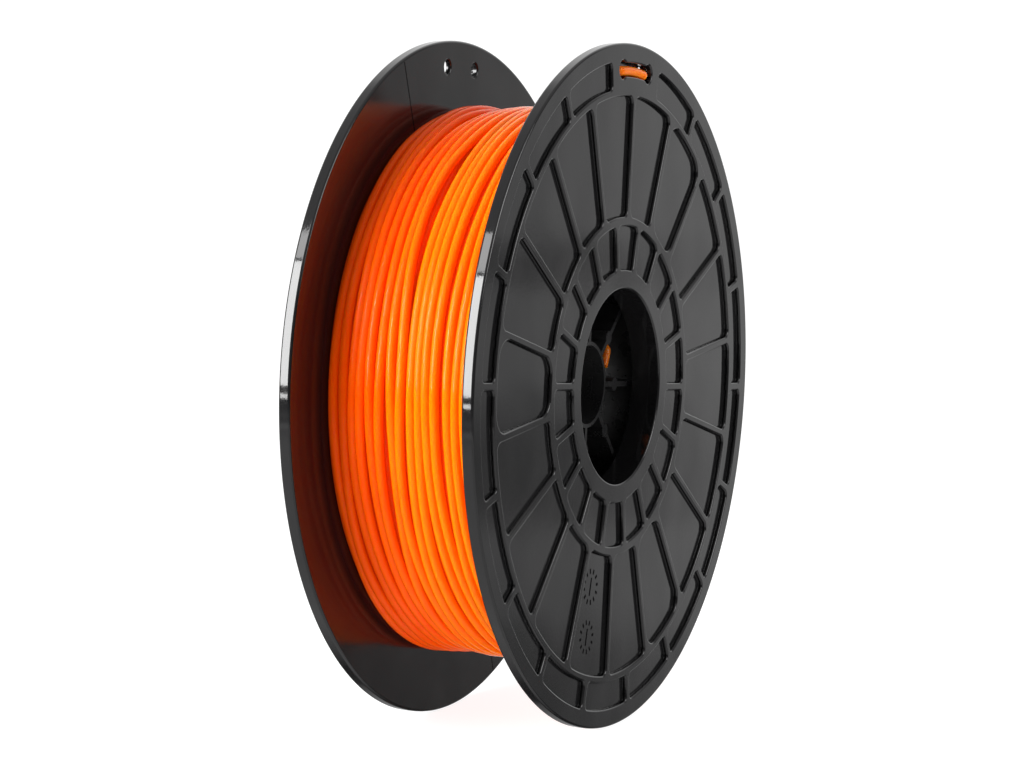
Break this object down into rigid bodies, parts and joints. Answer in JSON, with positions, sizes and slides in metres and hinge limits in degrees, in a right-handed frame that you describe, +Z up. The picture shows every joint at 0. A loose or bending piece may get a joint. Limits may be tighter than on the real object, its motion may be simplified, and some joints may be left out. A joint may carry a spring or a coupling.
{
  "type": "filament spool",
  "caption": "Spool of 3-D printing filament: two pocketed disc flanges on a ribbed core with an arbor tube, wound full, the strand's end tucked through a slot.",
  "frame": {"origin": "centre of the spool, on its axis, half-way between the flanges' outer faces", "axes": "+Y along the spool's axis from the front flange to the rear one, +Z up through the retention slot's side"},
  "size_m": [0.2, 0.0592, 0.2],
  "materials": {
    "reel_plastic": "glossy black moulded plastic",
    "core_plastic": "satin black moulded plastic",
    "filament": "translucent bright orange, glossy"
  },
  "bodies": {
    "root": {"front_flange": "reel_plastic", "rear_flange": "reel_plastic", "front_hub_collar": "reel_plastic", "rear_hub_collar": "reel_plastic", "drum": "core_plastic", "arbor_tube": "core_plastic", "hub_rib_1": "core_plastic", "hub_rib_2": "core_plastic", "hub_rib_3": "core_plastic", "hub_rib_4": "core_plastic", "hub_rib_5": "core_plastic", "hub_rib_6": "core_plastic", "hub_rib_7": "core_plastic", "hub_rib_8": "core_plastic", "filament_winding": "filament", "filament_outer_end": "filament", "filament_inner_end": "filament"}
  },
  "joints": []
}
